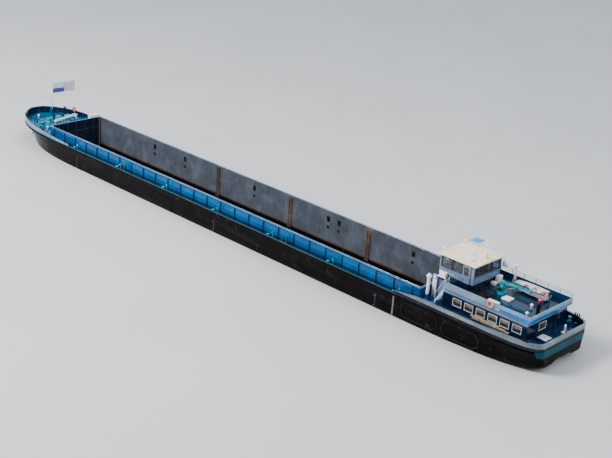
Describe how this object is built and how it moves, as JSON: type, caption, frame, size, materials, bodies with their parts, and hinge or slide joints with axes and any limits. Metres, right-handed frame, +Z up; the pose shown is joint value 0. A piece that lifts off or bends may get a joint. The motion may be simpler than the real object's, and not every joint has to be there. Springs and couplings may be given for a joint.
{
  "type": "river barge, 1:10 scale model",
  "caption": "Flat-bottomed motor cargo barge with one long open hold, wheelhouse and quarters aft, bow windlass, folding masts, deck crane, propeller in a nozzle and twin rudders.",
  "frame": {"origin": "midship point of the flat bottom, under the centre of the overall box", "axes": "+X to the bow, +Y to port, +Z up"},
  "size_m": [8.502, 0.952, 1.07],
  "materials": {
    "hull_paint": "weathered near-black hull paint",
    "hold_paint": "scuffed grey hold paint",
    "deck_paint": "strong blue deck paint",
    "bulwark_paint": "pale grey-blue paint",
    "house_paint": "pale lavender-blue paint",
    "cream_paint": "cream roof paint",
    "white_paint": "white paint",
    "machine_paint": "turquoise machine paint",
    "sign_paint": "bright blue sign paint",
    "ladder_steel": "rust-stained painted steel",
    "bare_steel": "brushed",
    "bronze": "polished on the edges",
    "cast_iron": "tarred",
    "window_glass": "clear tinted",
    "interior_trim": "matte",
    "dinghy_shell": "gloss",
    "flag_cloth": "woven cloth"
  },
  "bodies": {
    "hull": {"aft_body": "hull_paint", "fore_body": "hull_paint", "side_tank_port": "hull_paint", "side_tank_starboard": "hull_paint", "double_bottom": "hold_paint", "fore_deck": "deck_paint", "side_deck_port": "deck_paint", "side_deck_starboard": "deck_paint", "aft_deck": "deck_paint", "side_bollard_fore_port": "deck_paint", "side_bollard_fore_starboard": "deck_paint", "side_bollard_aft_port": "deck_paint", "side_bollard_aft_starboard": "deck_paint", "hold_coaming": "deck_paint", "bulwark_fore": "bulwark_paint", "bulwark_aft": "bulwark_paint", "hold_ladder_port_1": "ladder_steel", "hold_ladder_port_2": "ladder_steel", "hold_ladder_port_3": "ladder_steel", "hold_ladder_starboard_1": "ladder_steel", "hold_ladder_starboard_2": "ladder_steel", "hold_ladder_starboard_3": "ladder_steel", "windlass_frame": "machine_paint", "anchor_port": "cast_iron", "anchor_starboard": "cast_iron", "gangway": "white_paint", "bow_locker": "white_paint", "wheelhouse_base": "house_paint", "wheelhouse_walls": "house_paint", "wheelhouse_glass_fore": "window_glass", "wheelhouse_glass_aft": "window_glass", "wheelhouse_roof": "cream_paint", "wheelhouse_inside": "interior_trim", "deckhouse_walls": "house_paint", "deckhouse_roof": "house_paint", "roof_railing": "bulwark_paint", "stair_port": "white_paint", "stair_starboard": "white_paint", "main_engine": "cast_iron", "dinghy": "dinghy_shell", "radar_mast": "white_paint", "nozzle": "hull_paint"},
    "windlass": {"windlass_drum": "machine_paint"},
    "forepeak_lid": {"forepeak_hatch": "deck_paint"},
    "steering_lid": {"steering_hatch": "deck_paint"},
    "fore_mast": {"mast_fore": "white_paint", "flag_fore": "flag_cloth"},
    "aft_mast": {"mast_aft": "white_paint"},
    "radar": {"radar_scanner": "white_paint"},
    "sign": {"sign_board": "sign_paint"},
    "door_port": {"wheelhouse_door_port": "house_paint"},
    "door_starboard": {"wheelhouse_door_starboard": "house_paint"},
    "door_aft": {"deckhouse_door": "house_paint"},
    "crane": {"crane_column": "machine_paint"},
    "boom": {"crane_boom": "machine_paint"},
    "cylinder": {"crane_cylinder": "bare_steel"},
    "rod": {"crane_rod": "bare_steel"},
    "screw": {"propeller": "bronze"},
    "rudder_blade_port": {"rudder_port": "hull_paint"},
    "rudder_blade_starboard": {"rudder_starboard": "hull_paint"}
  },
  "joints": [
    {"name": "propeller_spin", "type": "hinge", "parent": "hull", "child": "screw", "pos_m": [-3.82, 0, 0.088], "axis": [1, 0, 0], "continuous": true},
    {"name": "rudder_starboard_turn", "type": "hinge", "parent": "hull", "child": "rudder_blade_starboard", "pos_m": [-3.945, -0.06, 0.09], "axis": [0, 0, 1], "range_deg": [-45, 45]},
    {"name": "rudder_port_turn", "type": "hinge", "parent": "hull", "child": "rudder_blade_port", "pos_m": [-3.945, 0.06, 0.09], "axis": [0, 0, 1], "range_deg": [-45, 45]},
    {"name": "windlass_turn", "type": "hinge", "parent": "hull", "child": "windlass", "pos_m": [3.72, 0, 0.422], "axis": [0, 1, 0], "continuous": true},
    {"name": "forepeak_hatch_lift", "type": "hinge", "parent": "hull", "child": "forepeak_lid", "pos_m": [3.566, -0.21, 0.388], "axis": [0, -1, 0], "range_deg": [0, 90]},
    {"name": "steering_hatch_lift", "type": "hinge", "parent": "hull", "child": "steering_lid", "pos_m": [-4.184, 0.16, 0.388], "axis": [0, -1, 0], "range_deg": [0, 90]},
    {"name": "mast_fore_fold", "type": "hinge", "parent": "hull", "child": "fore_mast", "pos_m": [3.85, 0, 0.525], "axis": [0, -1, 0], "range_deg": [0, 90]},
    {"name": "mast_aft_fold", "type": "hinge", "parent": "hull", "child": "aft_mast", "pos_m": [-3.29, 0, 0.86], "axis": [0, 1, 0], "range_deg": [0, 90]},
    {"name": "radar_spin", "type": "hinge", "parent": "hull", "child": "radar", "pos_m": [-3.472, -0.27, 0.74], "axis": [0, 0, 1], "continuous": true},
    {"name": "sign_board_swing", "type": "hinge", "parent": "hull", "child": "sign", "pos_m": [-2.98, -0.25, 0.838], "axis": [-1, 0, 0], "range_deg": [0, 90]},
    {"name": "wheelhouse_door_port_slide", "type": "slide", "parent": "hull", "child": "door_port", "axis": [1, 0, 0], "range_m": [0, 0.078]},
    {"name": "wheelhouse_door_starboard_slide", "type": "slide", "parent": "hull", "child": "door_starboard", "axis": [1, 0, 0], "range_m": [0, 0.078]},
    {"name": "deckhouse_door_swing", "type": "hinge", "parent": "hull", "child": "door_aft", "pos_m": [-4.04875, -0.228, 0.45], "axis": [0, 0, 1], "range_deg": [0, 100]},
    {"name": "crane_slew", "type": "hinge", "parent": "hull", "child": "crane", "pos_m": [-3.53, 0.02, 0.6], "axis": [0, 0, 1], "range_deg": [-110, 20]},
    {"name": "crane_luff", "type": "hinge", "parent": "crane", "child": "boom", "pos_m": [-3.53, 0.02, 0.675], "axis": [-0.2079, 0.9781, 0], "range_deg": [0, 65]},
    {"name": "crane_cylinder_tilt", "type": "hinge", "parent": "crane", "child": "cylinder", "pos_m": [-3.55934, 0.01376, 0.61], "axis": [-0.2079, 0.9781, 0], "range_deg": [0, 50]},
    {"name": "crane_rod_extend", "type": "slide", "parent": "cylinder", "child": "rod", "axis": [-0.8728, -0.1855, 0.4514], "range_m": [0, 0.0695]}
  ],
  "couplings": [
    {"joint": "rudder_port_turn", "follows": "rudder_starboard_turn", "ratio": 1},
    {"joint": "crane_cylinder_tilt", "follows": "crane_luff", "ratio": 0.7634},
    {"joint": "crane_rod_extend", "follows": "crane_luff", "m_per_rad": 0.061037}
  ]
}
